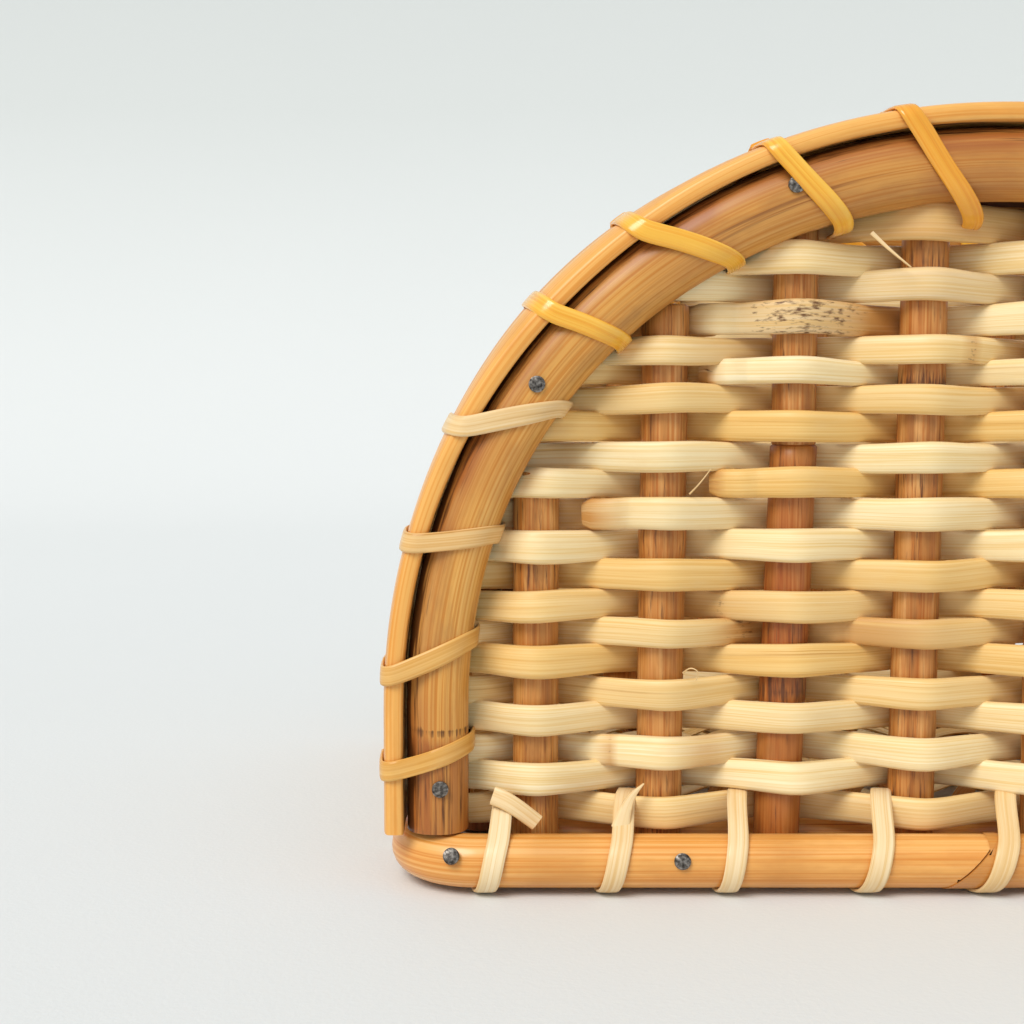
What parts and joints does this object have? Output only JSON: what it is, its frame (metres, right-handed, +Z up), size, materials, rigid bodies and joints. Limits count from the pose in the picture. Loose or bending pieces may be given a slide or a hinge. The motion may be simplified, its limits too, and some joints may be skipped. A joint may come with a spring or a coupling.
{
  "type": "woven wicker basket",
  "caption": "Rectangular rattan basket with two tall D-shaped woven sides, two low woven ends, a woven floor and cane-lashed pole rims",
  "frame": {"origin": "centre of the footprint, on the surface that the basket stands on", "axes": "+X along the long woven sides, +Y from the front side to the back side, +Z up"},
  "size_m": [0.2496, 0.1526, 0.159],
  "materials": {
    "base_pole": "varnished round rattan",
    "arch_pole": "split rattan, golden tan with dark stains",
    "cap_strip": "smooth split rattan strip",
    "stake": "round rattan with its skin, reddish brown",
    "weaver": "peeled pale reed, matt",
    "cane": "flat cane binding, satin",
    "golden_cane": "glossy golden cane",
    "nail": "flat steel nail heads"
  },
  "bodies": {
    "root": {"front_stake_1": "stake", "front_stake_2": "stake", "front_stake_3": "stake", "front_stake_4": "stake", "front_stake_5": "stake", "front_stake_6": "stake", "front_stake_7": "stake", "front_stake_8": "stake", "front_weave": "weaver", "front_arch_core": "arch_pole", "front_outer_pole": "arch_pole", "front_inner_pole": "arch_pole", "front_cap_strip": "cap_strip", "front_rim_lashing": "cane", "front_base_lashing": "cane", "back_stake_1": "stake", "back_stake_2": "stake", "back_stake_3": "stake", "back_stake_4": "stake", "back_stake_5": "stake", "back_stake_6": "stake", "back_stake_7": "stake", "back_stake_8": "stake", "back_weave": "weaver", "back_arch_core": "arch_pole", "back_outer_pole": "arch_pole", "back_inner_pole": "arch_pole", "back_cap_strip": "cap_strip", "back_rim_lashing": "cane", "back_base_lashing": "cane", "left_stake_1": "stake", "left_stake_2": "stake", "left_stake_3": "stake", "left_weave": "weaver", "left_outer_rail": "arch_pole", "left_inner_rail": "arch_pole", "left_cap_strip": "cap_strip", "left_rim_lashing": "cane", "left_base_lashing": "cane", "right_stake_1": "stake", "right_stake_2": "stake", "right_stake_3": "stake", "right_weave": "weaver", "right_outer_rail": "arch_pole", "right_inner_rail": "arch_pole", "right_cap_strip": "cap_strip", "right_rim_lashing": "cane", "right_base_lashing": "cane", "floor_stick_1": "stake", "floor_stick_2": "stake", "floor_stick_3": "stake", "floor_stick_4": "stake", "floor_stick_5": "stake", "floor_stick_6": "stake", "floor_weave": "weaver", "base_ring": "base_pole", "inner_base_ring": "base_pole"}
  },
  "joints": []
}
